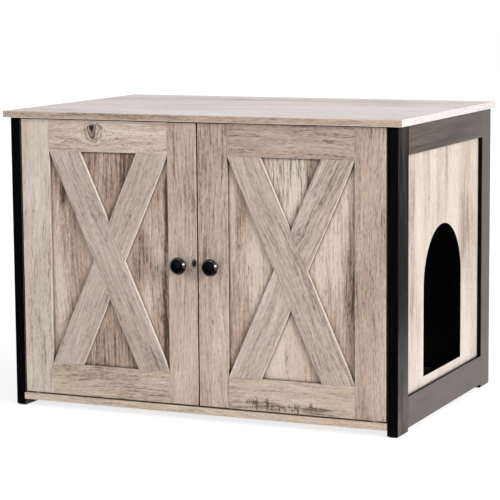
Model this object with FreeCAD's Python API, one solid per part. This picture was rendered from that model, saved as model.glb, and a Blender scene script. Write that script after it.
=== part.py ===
"""Cat litter box cabinet with two X-braced doors and an arched side doorway.

Millimetres. The cabinet stands on the XY plane with +Z up, its doors face -Y, and the
origin is the middle of its footprint, knobs included. It is built as the real one comes
out of its carton: two dark side frames with infill panels, a top and a bottom board, a
thin back, and two doors that turn on hidden pivots. Every piece is its own solid.
"""
import FreeCAD, Part
import math
import os

V = FreeCAD.Vector

# ---------------------------------------------------------------- carcass
cabinet_width = 750.0        # across the outer faces of the side frames
cabinet_depth = 512.0        # front face to back face of the posts
body_height = 533.0          # floor to the underside of the top board

top_thickness = 12.0
top_side_overhang = 10.0
top_front_overhang = 10.0
top_edge_easing = 0.8

bottom_thickness = 12.0
bottom_clearance = 13.0      # floor to the underside of the bottom board
bottom_front_lip = 5.0       # how far it stands out before the posts
bottom_edge_easing = 0.6

# ---------------------------------------------------------------- side frames
post_width = 20.0            # along X, also the thickness of the rails
post_depth = 52.0            # along Y
post_rounding = 1.6
bottom_rail_clearance = 8.0  # floor to the underside of the bottom rail
bottom_rail_height = 54.0
top_rail_height = 52.0
pad_height = 2.0             # felt pad under each post
pad_margin = 3.0             # edge of the post's end to the pad

panel_recess = 8.0           # outer face of the frame to the face of the infill panel
panel_thickness = 12.0
arch_width = 208.0           # doorway in the right panel, round-headed
arch_height = 262.0          # sill to crown
arch_sill = 17.0             # top of the bottom rail to the sill

# ---------------------------------------------------------------- back
back_thickness = 3.0
back_inset = 13.0            # back face of the posts to the back of the thin board
groove_depth = 5.0
groove_slack = 0.2           # play on each side of the thin board in its grooves

# ---------------------------------------------------------------- doors
door_side_gap = 2.0          # door to post
door_middle_gap = 2.0        # door to door
door_end_gap = 2.0           # door to the boards above and below
door_board_thickness = 10.0
trim_thickness = 6.0         # stiles, rails and braces laid on the door board
stile_width = 57.0
door_rail_width = 57.0
brace_cut_width = 62.0       # width of a brace along its level end cut
trim_easing = 0.5

# ---------------------------------------------------------------- knobs
knob_reach = 25.0            # how far a knob stands out from the door
knob_radius = 15.75
knob_rim_height = 17.5       # door face to the widest ring of the knob
knob_rim_rounding = 3.0
knob_side_count = 28         # sides of every ring of the knob
knob_rim_steps = 3           # rings from the underside of the rim to the dome
knob_dome_steps = 4          # rings from the rim to the crown
knob_neck_radius = 5.5
knob_neck_start = 4.5
knob_neck_end = 10.0
knob_foot_radius = 8.0
knob_foot_height = 1.5
knob_set_in = 30.0           # meeting edge of the door to the knob's axis
knob_screw_radius = 2.0
knob_screw_grip = 10.0       # how deep the screw goes into the knob
knob_screw_head_radius = 4.0
knob_screw_head_height = 2.4

# ---------------------------------------------------------------- pivot hinges
pivot_inset = 22.0           # hinge edge of the door to the pin's axis
pin_radius = 2.5
pin_running_clearance = 0.05
pin_overreach = 3.0          # how far the pin goes on past the leaf on the door
pin_pocket_radius = 3.5
pin_pocket_spare = 1.0       # air beyond the pin's end
leaf_thickness = 2.0
leaf_width = 10.0
leaf_tail = 12.0             # pin axis to the short end of a leaf
leaf_length = 50.0
leaf_screw_offsets = (17.0, 30.0)
leaf_screw_length = 9.0
leaf_screw_radius = 1.6
leaf_screw_head_radius = 3.4
washer_radius = 5.5
washer_bore_clearance = 0.1
washer_running_clearance = 0.1

# ---------------------------------------------------------------- magnetic catch
strike_width = 20.0
strike_height = 11.0
strike_thickness = 1.2
strike_set_in = 3.0          # meeting edge of the door to the strike plate
strike_drop = 1.0            # top edge of the door to the strike plate
strike_screw_length = 10.0
strike_screw_radius = 1.4
strike_screw_head_radius = 2.6
catch_air_gap = 0.3          # strike plate to magnet with the door shut
catch_case_height = 13.0
catch_case_depth = 18.0
catch_case_wall = 2.5
catch_ear_length = 9.0
catch_ear_thickness = 2.5
magnet_depth = 10.0
magnet_height = 7.0
magnet_proud = 1.0           # how far a magnet stands out of the case
catch_screw_length = 10.0
catch_screw_radius = 1.6
catch_screw_head_radius = 3.0
catch_screw_head_height = 1.8

# ---------------------------------------------------------------- knock-down fittings
fastener_side_count = 8      # sides of a dowel, bolt or screw
disc_side_count = 16         # sides of a cam or washer
dowel_radius = 4.0           # rails to posts
dowel_length = 30.0
dowel_spread = 14.0          # a rail's two dowels, each side of its middle
small_dowel_radius = 3.0     # panels to posts, boards to rails
small_dowel_length = 24.0
panel_dowel_inset = 60.0     # top and bottom edge of a panel to its dowels
top_dowel_grip = 8.0         # how deep a dowel goes into the top board
board_dowel_offset = 90.0    # middle of the cabinet to a board's dowels, along Y
cam_radius = 6.0
cam_depth = 9.5
cam_slot_width = 1.6
cam_slot_depth = 1.2
cam_axis_depth = 5.5         # face that takes the cam to the axis of its bolt
cam_setback = 24.0           # joint to the middle of the cam
cam_bolt_radius = 3.0
cam_bolt_thread_radius = 2.4
cam_bolt_thread_length = 9.0
cam_offset = 150.0           # middle of the cabinet to a cam, along Y

# ---------------------------------------------------------------- worked-out places
outer_x = cabinet_width / 2
inner_x = outer_x - post_width
front_y = knob_reach - (cabinet_depth + knob_reach) / 2
back_y = front_y + cabinet_depth
middle_y = (front_y + back_y) / 2
rail_front_y = front_y + post_depth
rail_back_y = back_y - post_depth
bottom_top_z = bottom_clearance + bottom_thickness
rail_low_top_z = bottom_rail_clearance + bottom_rail_height
rail_high_low_z = body_height - top_rail_height

door_low_z = bottom_top_z + door_end_gap
door_high_z = body_height - door_end_gap
door_middle_z = (door_low_z + door_high_z) / 2
door_hinge_x = inner_x - door_side_gap
door_meeting_x = door_middle_gap / 2
door_board_front_y = front_y + trim_thickness
door_back_y = door_board_front_y + door_board_thickness
door_middle_y = (front_y + door_back_y) / 2
pivot_x = door_hinge_x - pivot_inset
knob_x = door_meeting_x + knob_set_in

panel_outer_x = outer_x - panel_recess
panel_inner_x = panel_outer_x - panel_thickness
panel_middle_x = (panel_outer_x + panel_inner_x) / 2
rail_middle_x = (outer_x + inner_x) / 2

back_board_rear_y = back_y - back_inset
back_board_front_y = back_board_rear_y - back_thickness

UP = V(0, 0, 1)
DOWN = V(0, 0, -1)
FORWARD = V(0, -1, 0)
BACKWARD = V(0, 1, 0)
SIDES = (("left", -1), ("right", 1))


# ---------------------------------------------------------------- shape helpers
def block(xs, ys, zs):
    """Box that spans two X, two Y and two Z values, each pair in any order."""
    corner = V(min(xs), min(ys), min(zs))
    return Part.makeBox(abs(xs[1] - xs[0]), abs(ys[1] - ys[0]), abs(zs[1] - zs[0]), corner)


def rod(start, direction, radius, length):
    """Plain round bar from a point."""
    return Part.makeCylinder(radius, length, start, direction)


def slab(points, y_front, thickness):
    """Upright board with an outline of (x, z) points, from y_front backwards."""
    corners = [V(x, y_front, z) for x, z in points]
    return flat_face(corners).extrude(V(0, thickness, 0))


def eased(shape, width, chosen):
    """Chamfer the edges for which chosen(edge) is true."""
    return shape.makeChamfer(width, [edge for edge in shape.Edges if chosen(edge)])


def lies_at(edge, axis, value):
    """True when every end of the edge has this coordinate on the given axis."""
    return all(abs(getattr(vertex.Point, axis) - value) < 1e-6 for vertex in edge.Vertexes)


def drilled(shape, tools):
    """Cut the pockets and bores that reach the shape, and leave the rest alone."""
    near = [tool for tool in tools if tool.BoundBox.intersect(shape.BoundBox)]
    return shape.cut(near) if near else shape


def flat_face(corners):
    """Flat face with straight sides."""
    return Part.Face(Part.makePolygon(corners + corners[:1]))


def ring(centre, direction, radius, side_count):
    """Corners of a many-sided section, square to direction."""
    arm = (FORWARD if abs(direction.y) < 0.5 else UP) * radius
    turn = FreeCAD.Rotation(direction, 360 / side_count)
    corners = []
    for _ in range(side_count):
        corners.append(centre + arm)
        arm = turn.multVec(arm)
    return corners


def bar(start, direction, radius, length, side_count=fastener_side_count):
    """Straight many-sided bar or disc."""
    return flat_face(ring(start, direction, radius, side_count)).extrude(direction * length)


def stacked(rings):
    """Solid that runs through rings of corners, with a flat face at each end."""
    faces = [flat_face(rings[0]), flat_face(rings[-1])]
    for lower, upper in zip(rings, rings[1:]):
        faces += [flat_face([lower[i - 1], lower[i], upper[i], upper[i - 1]])
                  for i in range(len(lower))]
    return Part.Solid(Part.Shell(faces))


def countersunk_screw(head_centre, direction, head, shank_radius, length):
    """Screw whose flat head lies at head_centre; head is its radius and its height."""
    head_radius, head_height = head
    neck = head_centre + direction * head_height
    cone = stacked([ring(head_centre, direction, head_radius, fastener_side_count),
                    ring(neck, direction, shank_radius, fastener_side_count)])
    return cone.fuse(bar(neck, direction, shank_radius, length - head_height)).removeSplitter()


def headed_screw(head_seat, direction, head, shank_radius, length):
    """Screw whose raised head stands on head_seat; head is its radius and its height."""
    head_radius, head_height = head
    raised = bar(head_seat, direction * -1, head_radius, head_height)
    return raised.fuse(bar(head_seat, direction, shank_radius, length)).removeSplitter()


# ---------------------------------------------------------------- knock-down fittings
def rail_dowels():
    """Two glued dowels across each joint between a rail and a post."""
    pins = []
    levels = (bottom_rail_clearance + bottom_rail_height / 2, body_height - top_rail_height / 2)
    for _, sign in SIDES:
        for joint_y in (rail_front_y, rail_back_y):
            for level in levels:
                for shift in (-dowel_spread, dowel_spread):
                    start = V(sign * rail_middle_x, joint_y - dowel_length / 2, level + shift)
                    pins.append(bar(start, BACKWARD, dowel_radius, dowel_length))
    return pins


def panel_dowels():
    """Dowels that hold each infill panel between its two posts."""
    pins = []
    levels = (rail_low_top_z + panel_dowel_inset, rail_high_low_z - panel_dowel_inset)
    for _, sign in SIDES:
        for joint_y in (rail_front_y, rail_back_y):
            for level in levels:
                start = V(sign * panel_middle_x, joint_y - small_dowel_length / 2, level)
                pins.append(bar(start, BACKWARD, small_dowel_radius, small_dowel_length))
    return pins


def board_dowels():
    """Dowels that place the top board on the rails and the bottom board between them."""
    pins = []
    bottom_axis_z = bottom_clearance + bottom_thickness / 2
    for _, sign in SIDES:
        for y in (middle_y - board_dowel_offset, middle_y + board_dowel_offset):
            top_start = V(sign * rail_middle_x, y, body_height + top_dowel_grip)
            pins.append(bar(top_start, DOWN, small_dowel_radius, small_dowel_length))
            start_x = sign * (inner_x + small_dowel_length / 2)
            pins.append(bar(V(start_x, y, bottom_axis_z), V(-sign, 0, 0),
                            small_dowel_radius, small_dowel_length))
    return pins


def cam_stations():
    """Where the cams go: pocket mouth, way in, joint plane point and bolt direction."""
    stations = []
    for _, sign in SIDES:
        inward = V(-sign, 0, 0)
        outward = V(sign, 0, 0)
        for y in (middle_y - cam_offset, middle_y + cam_offset):
            mouth = V(sign * inner_x, y, body_height - cam_setback)
            joint = V(sign * (inner_x + cam_axis_depth), y, body_height)
            stations.append((mouth, outward, joint, DOWN))
            mouth = V(sign * (inner_x - cam_setback), y, bottom_clearance)
            joint = V(sign * inner_x, y, bottom_clearance + cam_axis_depth)
            stations.append((mouth, UP, joint, inward))
    return stations


def cam_pocket(station):
    """Round pocket that a cam fills."""
    mouth, way_in, _, _ = station
    return bar(mouth, way_in, cam_radius, cam_depth, disc_side_count)


def cam_bolt(station):
    """Bolt that is screwed into one piece and held by the cam in the other."""
    _, _, joint, direction = station
    thread = bar(joint, direction * -1, cam_bolt_thread_radius, cam_bolt_thread_length)
    shank = bar(joint, direction, cam_bolt_radius, cam_setback)
    return thread.fuse(shank).removeSplitter()


def cam_lock(station):
    """Cam disc with its screwdriver slot and the hole that swallows the bolt's head."""
    mouth, way_in, _, _ = station
    across = way_in.cross(BACKWARD) * cam_slot_width
    along = BACKWARD * 2 * cam_radius
    corner = mouth - along / 2 - across / 2
    outline = [corner, corner + along, corner + along + across, corner + across]
    slot = flat_face(outline).extrude(way_in * cam_slot_depth)
    return cam_pocket(station).cut([slot, cam_bolt(station)])


# ---------------------------------------------------------------- carcass pieces
def top_board(bores):
    """Board with eased edges that lies on both side frames, flush with them at the back."""
    half = outer_x + top_side_overhang
    top_z = body_height + top_thickness
    board = block((-half, half), (front_y - top_front_overhang, back_y), (body_height, top_z))
    board = eased(board, top_edge_easing, lambda edge: lies_at(edge, "z", top_z))
    return drilled(board, bores)


def bottom_board(bores):
    """Floor of the cabinet, between the side frames, with a lip before the doors."""
    lip_y = front_y - bottom_front_lip
    board = block((-inner_x, inner_x), (lip_y, back_y), (bottom_clearance, bottom_top_z))
    board = eased(board, bottom_edge_easing, lambda edge: lies_at(edge, "y", lip_y)
                  and not (lies_at(edge, "x", inner_x) or lies_at(edge, "x", -inner_x)))
    return drilled(board, bores)


def post(sign, y_from, y_to, bores):
    """Upright with rounded outer edges, from its pad to the top board."""
    upright = block((sign * inner_x, sign * outer_x), (y_from, y_to), (pad_height, body_height))
    long_edges = [edge for edge in upright.Edges if lies_at(edge, "x", sign * outer_x)
                  and edge.BoundBox.ZLength > post_depth]
    return drilled(upright.makeFillet(post_rounding, long_edges), bores)


def rail(sign, z_from, z_to, bores):
    """Level member between the two posts of a side."""
    bar = block((sign * inner_x, sign * outer_x), (rail_front_y, rail_back_y), (z_from, z_to))
    return drilled(bar, bores)


def arch_doorway():
    """Round-headed hole through the right panel."""
    radius = arch_width / 2
    sill_z = rail_low_top_z + arch_sill
    spring_z = sill_z + arch_height - radius
    near, far = middle_y - radius, middle_y + radius
    jamb_near = Part.LineSegment(V(0, near, sill_z), V(0, near, spring_z))
    head = Part.Arc(V(0, near, spring_z), V(0, middle_y, spring_z + radius),
                    V(0, far, spring_z))
    jamb_far = Part.LineSegment(V(0, far, spring_z), V(0, far, sill_z))
    sill = Part.LineSegment(V(0, far, sill_z), V(0, near, sill_z))
    outline = Part.Wire([edge.toShape() for edge in (jamb_near, head, jamb_far, sill)])
    hole = Part.Face(outline).extrude(V(panel_thickness, 0, 0))
    return hole.translated(V(panel_inner_x, 0, 0))


def side_panel(sign, bores):
    """Infill panel between posts and rails, with the doorway on the right side only."""
    panel = block((sign * panel_inner_x, sign * panel_outer_x), (rail_front_y, rail_back_y),
                  (rail_low_top_z, rail_high_low_z))
    if sign > 0:
        panel = panel.cut(arch_doorway())
    return drilled(panel, bores)


def back_board():
    """Thin board that slides in the grooves of the posts and of both boards."""
    reach = groove_depth - groove_slack
    return block((-inner_x - reach, inner_x + reach), (back_board_front_y, back_board_rear_y),
                 (bottom_top_z - reach, body_height + reach))


def back_groove():
    """Space that the grooves for the thin back board take out of their neighbours."""
    return block((-inner_x - groove_depth, inner_x + groove_depth),
                 (back_board_front_y - groove_slack, back_board_rear_y + groove_slack),
                 (bottom_top_z - groove_depth, body_height + groove_depth))


def foot_pads():
    """Felt pad glued under each post."""
    xs = (inner_x + pad_margin, outer_x - pad_margin)
    return [block((sign * xs[0], sign * xs[1]), (y + pad_margin, y + post_depth - pad_margin),
                  (0, pad_height))
            for _, sign in SIDES
            for y in (front_y, rail_back_y)]


# ---------------------------------------------------------------- pivot hinges
def leaf_plate(sign, z_from, z_to):
    """Plain strip along X around the pin's axis, most of it towards the door's middle."""
    tail_end = pivot_x + leaf_tail
    return block((sign * tail_end, sign * (tail_end - leaf_length)),
                 (door_middle_y - leaf_width / 2, door_middle_y + leaf_width / 2), (z_from, z_to))


def hinge_levels():
    """Frame face, door face and the direction from frame to door, bottom and top hinge."""
    return (("bottom", bottom_top_z, door_low_z, UP), ("top", body_height, door_high_z, DOWN))


def leaf_screws(sign, face_z, direction):
    """Two countersunk screws through a leaf whose open face lies at face_z."""
    return [countersunk_screw(V(sign * (pivot_x - offset), door_middle_y, face_z), direction,
                              (leaf_screw_head_radius, leaf_thickness),
                              leaf_screw_radius, leaf_screw_length)
            for offset in leaf_screw_offsets]


def pivot_pin(sign, frame_z, towards_door):
    """Pin that is riveted in the leaf on the frame and reaches into the door."""
    start = V(sign * pivot_x, door_middle_y, frame_z) - towards_door * leaf_thickness
    length = leaf_thickness + door_end_gap + leaf_thickness + pin_overreach
    return rod(start, towards_door, pin_radius, length)


def pivot_washer(sign, frame_z, towards_door):
    """Nylon washer between the two leaves of a hinge."""
    start = V(sign * pivot_x, door_middle_y, frame_z)
    thickness = door_end_gap - washer_running_clearance
    disc = bar(start, towards_door, washer_radius, thickness, disc_side_count)
    return disc.cut(rod(start, towards_door, pin_radius + washer_bore_clearance, thickness))


def frame_leaf(sign, frame_z, towards_door):
    """Leaf let into the top or bottom board, with its pin hole and screw holes."""
    plate = leaf_plate(sign, frame_z, frame_z - towards_door.z * leaf_thickness)
    screws = leaf_screws(sign, frame_z, towards_door * -1)
    return drilled(plate, screws + [pivot_pin(sign, frame_z, towards_door)])


def door_leaf(sign, door_z, towards_door):
    """Leaf let into the end of the door, whose hole runs on the pin."""
    plate = leaf_plate(sign, door_z, door_z + towards_door.z * leaf_thickness)
    start = V(sign * pivot_x, door_middle_y, door_z)
    bearing = rod(start, towards_door, pin_radius + pin_running_clearance, leaf_thickness)
    return drilled(plate, leaf_screws(sign, door_z, towards_door) + [bearing])


def door_leaf_pockets(sign):
    """What both hinges of a door take out of its ends: leaf, screws and room for the pin."""
    pockets = []
    for _, _, door_z, towards_door in hinge_levels():
        pockets.append(leaf_plate(sign, door_z, door_z + towards_door.z * leaf_thickness))
        pockets += leaf_screws(sign, door_z, towards_door)
        pockets.append(rod(V(sign * pivot_x, door_middle_y, door_z), towards_door,
                           pin_pocket_radius, leaf_thickness + pin_overreach + pin_pocket_spare))
    return pockets


# ---------------------------------------------------------------- doors
def door_board(sign, bores):
    """Flat board behind the trim."""
    board = block((sign * door_meeting_x, sign * door_hinge_x), (door_board_front_y, door_back_y),
                  (door_low_z, door_high_z))
    return drilled(board, bores)


def trim_piece(points, bores=()):
    """Trim board with an outline of (x, z) points and an eased front."""
    board = slab(points, front_y, trim_thickness)
    board = eased(board, trim_easing, lambda edge: lies_at(edge, "y", front_y))
    return drilled(board, bores)


def rectangle(x_from, x_to, z_from, z_to):
    """Outline points of an upright rectangle."""
    return [(x_from, z_from), (x_to, z_from), (x_to, z_to), (x_from, z_to)]


def brace_outline(from_x, to_x, low_z, high_z):
    """Corner-to-corner strip with level end cuts, from top at from_x to bottom at to_x."""
    step = brace_cut_width if to_x > from_x else -brace_cut_width
    return [(from_x, high_z), (from_x + step, high_z), (to_x, low_z), (to_x - step, low_z)]


def door_braces(field):
    """One brace in a single length, and the crossing one in two halves that butt on it."""
    left_x, right_x, low_z, high_z = field
    long_outline = brace_outline(left_x, right_x, low_z, high_z)
    long_brace = trim_piece(long_outline)
    knife = slab(long_outline, front_y, trim_thickness)
    crossing = slab(brace_outline(right_x, left_x, low_z, high_z), front_y, trim_thickness)
    halves = sorted(crossing.cut(knife).Solids, key=lambda solid: solid.CenterOfMass.z)
    lower, upper = [eased(half, trim_easing, lambda edge: lies_at(edge, "y", front_y))
                    for half in halves]
    return long_brace, upper, lower


def knob_outline():
    """Radius and height above the door of each ring of the turned knob."""
    rim_centre = knob_radius - knob_rim_rounding
    outline = [(knob_foot_radius, 0), (knob_foot_radius, knob_foot_height),
               (knob_neck_radius, knob_neck_start), (knob_neck_radius, knob_neck_end)]
    for step in range(knob_rim_steps + 1):
        angle = math.pi * (step / knob_rim_steps - 0.5)
        outline.append((rim_centre + knob_rim_rounding * math.cos(angle),
                        knob_rim_height + knob_rim_rounding * math.sin(angle)))
    dome_base = knob_rim_height + knob_rim_rounding
    last_angle = math.pi / 2 * knob_dome_steps / (knob_dome_steps + 1)
    rise = (knob_reach - dome_base) / math.sin(last_angle)
    for step in range(1, knob_dome_steps + 1):
        angle = last_angle * step / knob_dome_steps
        outline.append((rim_centre * math.cos(angle), dome_base + rise * math.sin(angle)))
    return outline


def knob(sign, screw):
    """Turned knob on the front of a door, drilled for its screw."""
    foot = V(sign * knob_x, front_y, door_middle_z)
    turned = stacked([ring(foot + FORWARD * height, FORWARD, radius, knob_side_count)
                      for radius, height in knob_outline()])
    return turned.cut(screw)


def knob_screw(sign):
    """Machine screw from inside the door into the knob."""
    length = door_board_thickness + trim_thickness + knob_screw_grip
    return headed_screw(V(sign * knob_x, door_back_y, door_middle_z), FORWARD,
                        (knob_screw_head_radius, knob_screw_head_height),
                        knob_screw_radius, length)


# ---------------------------------------------------------------- magnetic catch
def strike_span():
    """Lowest and highest X of the strike plate on the right door."""
    start = door_meeting_x + strike_set_in
    return start, start + strike_width


def strike_screw(sign):
    """Countersunk screw that holds a strike plate on the back of its door."""
    x = sign * sum(strike_span()) / 2
    z = door_high_z - strike_drop - strike_height / 2
    return countersunk_screw(V(x, door_back_y + strike_thickness, z), FORWARD,
                             (strike_screw_head_radius, strike_thickness),
                             strike_screw_radius, strike_screw_length)


def strike_plate(sign):
    """Steel plate that the magnet pulls."""
    high_z = door_high_z - strike_drop
    start, end = strike_span()
    plate = block((sign * start, sign * end), (door_back_y, door_back_y + strike_thickness),
                  (high_z - strike_height, high_z))
    return plate.cut(strike_screw(sign))


def catch_magnets():
    """One magnet behind each strike plate."""
    face_y = door_back_y + strike_thickness + catch_air_gap
    middle_z = door_high_z - strike_drop - strike_height / 2
    start, end = strike_span()
    return [block((sign * start, sign * end), (face_y, face_y + magnet_depth),
                  (middle_z - magnet_height / 2, middle_z + magnet_height / 2))
            for _, sign in SIDES]


def catch_screws():
    """Screws up through the ears of the catch."""
    x = strike_span()[1] + catch_case_wall + catch_ear_length / 2
    y = door_back_y + strike_thickness + catch_air_gap + magnet_proud + catch_case_depth / 2
    return [headed_screw(V(sign * x, y, body_height - catch_ear_thickness), UP,
                         (catch_screw_head_radius, catch_screw_head_height),
                         catch_screw_radius, catch_screw_length)
            for _, sign in SIDES]


def catch_case(magnets, screws):
    """Moulded case under the top board, with an ear at each end."""
    case_y = door_back_y + strike_thickness + catch_air_gap + magnet_proud
    half = strike_span()[1] + catch_case_wall
    ear = half + catch_ear_length
    ys = (case_y, case_y + catch_case_depth)
    body = block((-half, half), ys, (body_height - catch_case_height, body_height))
    ears = block((-ear, ear), ys, (body_height - catch_ear_thickness, body_height))
    return drilled(body.fuse(ears).removeSplitter(), magnets + screws)


# ---------------------------------------------------------------- assembly
def carcass_nodes():
    """Everything that stands still."""
    rail_pins, panel_pins, board_pins = rail_dowels(), panel_dowels(), board_dowels()
    stations = cam_stations()
    magnets, case_screws = catch_magnets(), catch_screws()
    bores = rail_pins + panel_pins + board_pins + case_screws + [back_groove()]
    for station in stations:
        bores += [cam_pocket(station), cam_bolt(station)]

    pins, washers, frame_screws, leaves = [], [], [], {}
    for side, sign in SIDES:
        for level, frame_z, _, towards_door in hinge_levels():
            leaf = frame_leaf(sign, frame_z, towards_door)
            leaves[f"{side}_{level}_frame_leaf"] = leaf
            pins.append(pivot_pin(sign, frame_z, towards_door))
            washers.append(pivot_washer(sign, frame_z, towards_door))
            frame_screws += leaf_screws(sign, frame_z, towards_door * -1)
            bores.append(leaf_plate(sign, frame_z, frame_z - towards_door.z * leaf_thickness))
    bores += frame_screws

    nodes = {"top_board": top_board(bores), "bottom_board": bottom_board(bores),
             "back_board": back_board(), "foot_pads": foot_pads()}
    for side, sign in SIDES:
        nodes[f"{side}_front_post"] = post(sign, front_y, rail_front_y, bores)
        nodes[f"{side}_back_post"] = post(sign, rail_back_y, back_y, bores)
        nodes[f"{side}_top_rail"] = rail(sign, rail_high_low_z, body_height, bores)
        nodes[f"{side}_bottom_rail"] = rail(sign, bottom_rail_clearance, rail_low_top_z, bores)
        nodes[f"{side}_side_panel"] = side_panel(sign, bores)
    nodes.update(leaves)
    nodes.update({"pivot_pins": pins, "pivot_washers": washers,
                  "frame_leaf_screws": frame_screws,
                  "catch_case": catch_case(magnets, case_screws),
                  "catch_magnets": magnets, "catch_screws": case_screws,
                  "rail_dowels": rail_pins, "panel_dowels": panel_pins,
                  "board_dowels": board_pins,
                  "cam_locks": [cam_lock(station) for station in stations],
                  "cam_bolts": [cam_bolt(station) for station in stations]})
    return nodes


def door_nodes(side, sign):
    """Everything that swings with one door."""
    screw, plate_screw = knob_screw(sign), strike_screw(sign)
    bores = door_leaf_pockets(sign) + [screw, plate_screw]
    stile_hinge_x = sign * (door_hinge_x - stile_width)
    stile_meeting_x = sign * (door_meeting_x + stile_width)
    low_z = door_low_z + door_rail_width
    high_z = door_high_z - door_rail_width
    left_x, right_x = sorted((stile_hinge_x, stile_meeting_x))
    long_brace, upper, lower = door_braces((left_x, right_x, low_z, high_z))

    pieces = {
        "door_board": door_board(sign, bores),
        "hinge_stile": trim_piece(rectangle(*sorted((sign * door_hinge_x, stile_hinge_x)),
                                            door_low_z, door_high_z), bores),
        "meeting_stile": trim_piece(rectangle(*sorted((sign * door_meeting_x, stile_meeting_x)),
                                              door_low_z, door_high_z), bores),
        "door_top_rail": trim_piece(rectangle(left_x, right_x, high_z, door_high_z), bores),
        "door_bottom_rail": trim_piece(rectangle(left_x, right_x, door_low_z, low_z), bores),
        "long_brace": long_brace,
        "upper_half_brace": upper,
        "lower_half_brace": lower,
        "knob": knob(sign, screw),
        "knob_screw": screw,
        "strike_plate": strike_plate(sign),
        "strike_screw": plate_screw,
        "door_leaf_screws": [],
    }
    for level, _, door_z, towards_door in hinge_levels():
        pieces[f"{level}_door_leaf"] = door_leaf(sign, door_z, towards_door)
        pieces["door_leaf_screws"] += leaf_screws(sign, door_z, towards_door)
    return {f"{side}_{name}": shape for name, shape in pieces.items()}


def export(nodes):
    """Write one STEP file per node; a list of solids becomes one compound."""
    os.makedirs("parts", exist_ok=True)
    for name, shape in nodes.items():
        if isinstance(shape, list):
            shape = Part.makeCompound(shape)
        shape.exportStep(f"parts/{name}.step")
        print(f"{name}: {len(shape.Solids)} solid(s), {shape.Volume / 1000:.1f} cm3")


all_nodes = carcass_nodes()
for door_side, door_sign in SIDES:
    all_nodes.update(door_nodes(door_side, door_sign))
export(all_nodes)
print(f"{len(all_nodes)} nodes")
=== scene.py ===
# %% [markdown]
# # Dressing a litter box cabinet
# The real cabinet is boards with a printed oak foil, a dark wood-grained frame, two black knobs
# and a handful of zinc fittings. A solid model already holds every board, hinge and fitting at its
# real size, so it is loaded first as a fixed frame: its pieces stay where they are. This lesson
# gives them their finish and rebuilds the small turned and moulded pieces in full detail.

# %% Load the solid model
import math
import random
from contextlib import contextmanager
import bpy
from mathutils import Euler, Matrix, Vector


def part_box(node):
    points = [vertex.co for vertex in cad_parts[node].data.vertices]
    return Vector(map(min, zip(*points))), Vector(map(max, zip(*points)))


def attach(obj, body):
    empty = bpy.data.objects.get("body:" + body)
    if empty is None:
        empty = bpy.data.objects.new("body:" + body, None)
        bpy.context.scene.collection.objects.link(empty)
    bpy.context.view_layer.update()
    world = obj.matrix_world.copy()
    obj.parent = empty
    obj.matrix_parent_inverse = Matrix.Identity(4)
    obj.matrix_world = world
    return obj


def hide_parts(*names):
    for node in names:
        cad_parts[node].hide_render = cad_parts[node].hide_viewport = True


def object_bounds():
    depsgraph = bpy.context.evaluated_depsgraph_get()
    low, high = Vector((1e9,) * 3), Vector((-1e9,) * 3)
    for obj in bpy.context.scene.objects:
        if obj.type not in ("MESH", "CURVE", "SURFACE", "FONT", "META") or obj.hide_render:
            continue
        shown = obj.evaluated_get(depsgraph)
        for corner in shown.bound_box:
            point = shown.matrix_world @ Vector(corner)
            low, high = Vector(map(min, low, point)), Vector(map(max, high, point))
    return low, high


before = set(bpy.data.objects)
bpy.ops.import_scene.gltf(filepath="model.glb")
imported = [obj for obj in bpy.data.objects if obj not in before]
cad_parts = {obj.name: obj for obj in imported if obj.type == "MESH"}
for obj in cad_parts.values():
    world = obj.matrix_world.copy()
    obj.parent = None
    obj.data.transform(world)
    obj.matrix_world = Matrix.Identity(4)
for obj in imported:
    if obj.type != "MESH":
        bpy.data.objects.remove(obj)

SIDES = ("left", "right")
solid_low, solid_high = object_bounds()
print("solid model from", tuple(solid_low), "to", tuple(solid_high))

# %% [markdown]
# ## The camera
# The picture was taken a little above the top board and some way round to the right, from far
# enough away that the upright edges stay almost parallel. A long lens from nearly four metres
# gives the same drawing. Three angles turn the camera, so each can be tuned by itself: how far
# round it stands, how far it looks down, and how much it leans.

# %% Camera
picture_side = 500
focal_pixels = 2039.3
camera_place = Vector((1.5392, -3.4527, 0.7911))
camera_azimuth = math.radians(24.14)
camera_pitch = math.radians(7.76)
camera_roll = math.radians(-0.45)

camera_data = bpy.data.cameras.new("camera")
camera_data.sensor_width = 36
camera_data.lens = focal_pixels / picture_side * camera_data.sensor_width
camera = bpy.data.objects.new("camera", camera_data)
looking = Euler((math.pi / 2 - camera_pitch, 0, camera_azimuth)).to_matrix().to_4x4()
camera.matrix_world = (Matrix.Translation(camera_place) @ looking
                       @ Matrix.Rotation(camera_roll, 4, "Z"))
bpy.context.scene.collection.objects.link(camera)
bpy.context.scene.camera = camera
bpy.context.scene.view_settings.view_transform = "Standard"
print(f"lens {camera_data.lens:.1f} mm")

# %% [markdown]
# ## Wiring nodes by name
# A finish is a small network of nodes. Typing each link by hand makes long code, so a few helpers
# do it: `tint` turns a colour as a person reads it, 0 to 255, into the linear values that light
# uses; `feed` puts either a number or another node's output into a socket; and `node` adds a node
# and feeds its sockets. Those that follow stand for the nodes that are used most, and
# `node_group` makes a group out of a function.

# %% Node helpers
def tint(red, green, blue):
    """Linear colour, with alpha, from 0-255 display values."""
    def linear(value):
        share = value / 255
        return share / 12.92 if share <= 0.04045 else ((share + 0.055) / 1.055) ** 2.4
    return (linear(red), linear(green), linear(blue), 1.0)


def feed(tree, value, socket):
    """Link an output to the socket, or set the socket's own value."""
    if isinstance(value, bpy.types.NodeSocket):
        tree.links.new(value, socket)
    else:
        socket.default_value = value


def feed_named(tree, sockets, **values):
    """Feed sockets by name; Base_Color stands for the socket named Base Color."""
    for name, value in values.items():
        feed(tree, value, sockets[name.replace("_", " ")])


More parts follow.
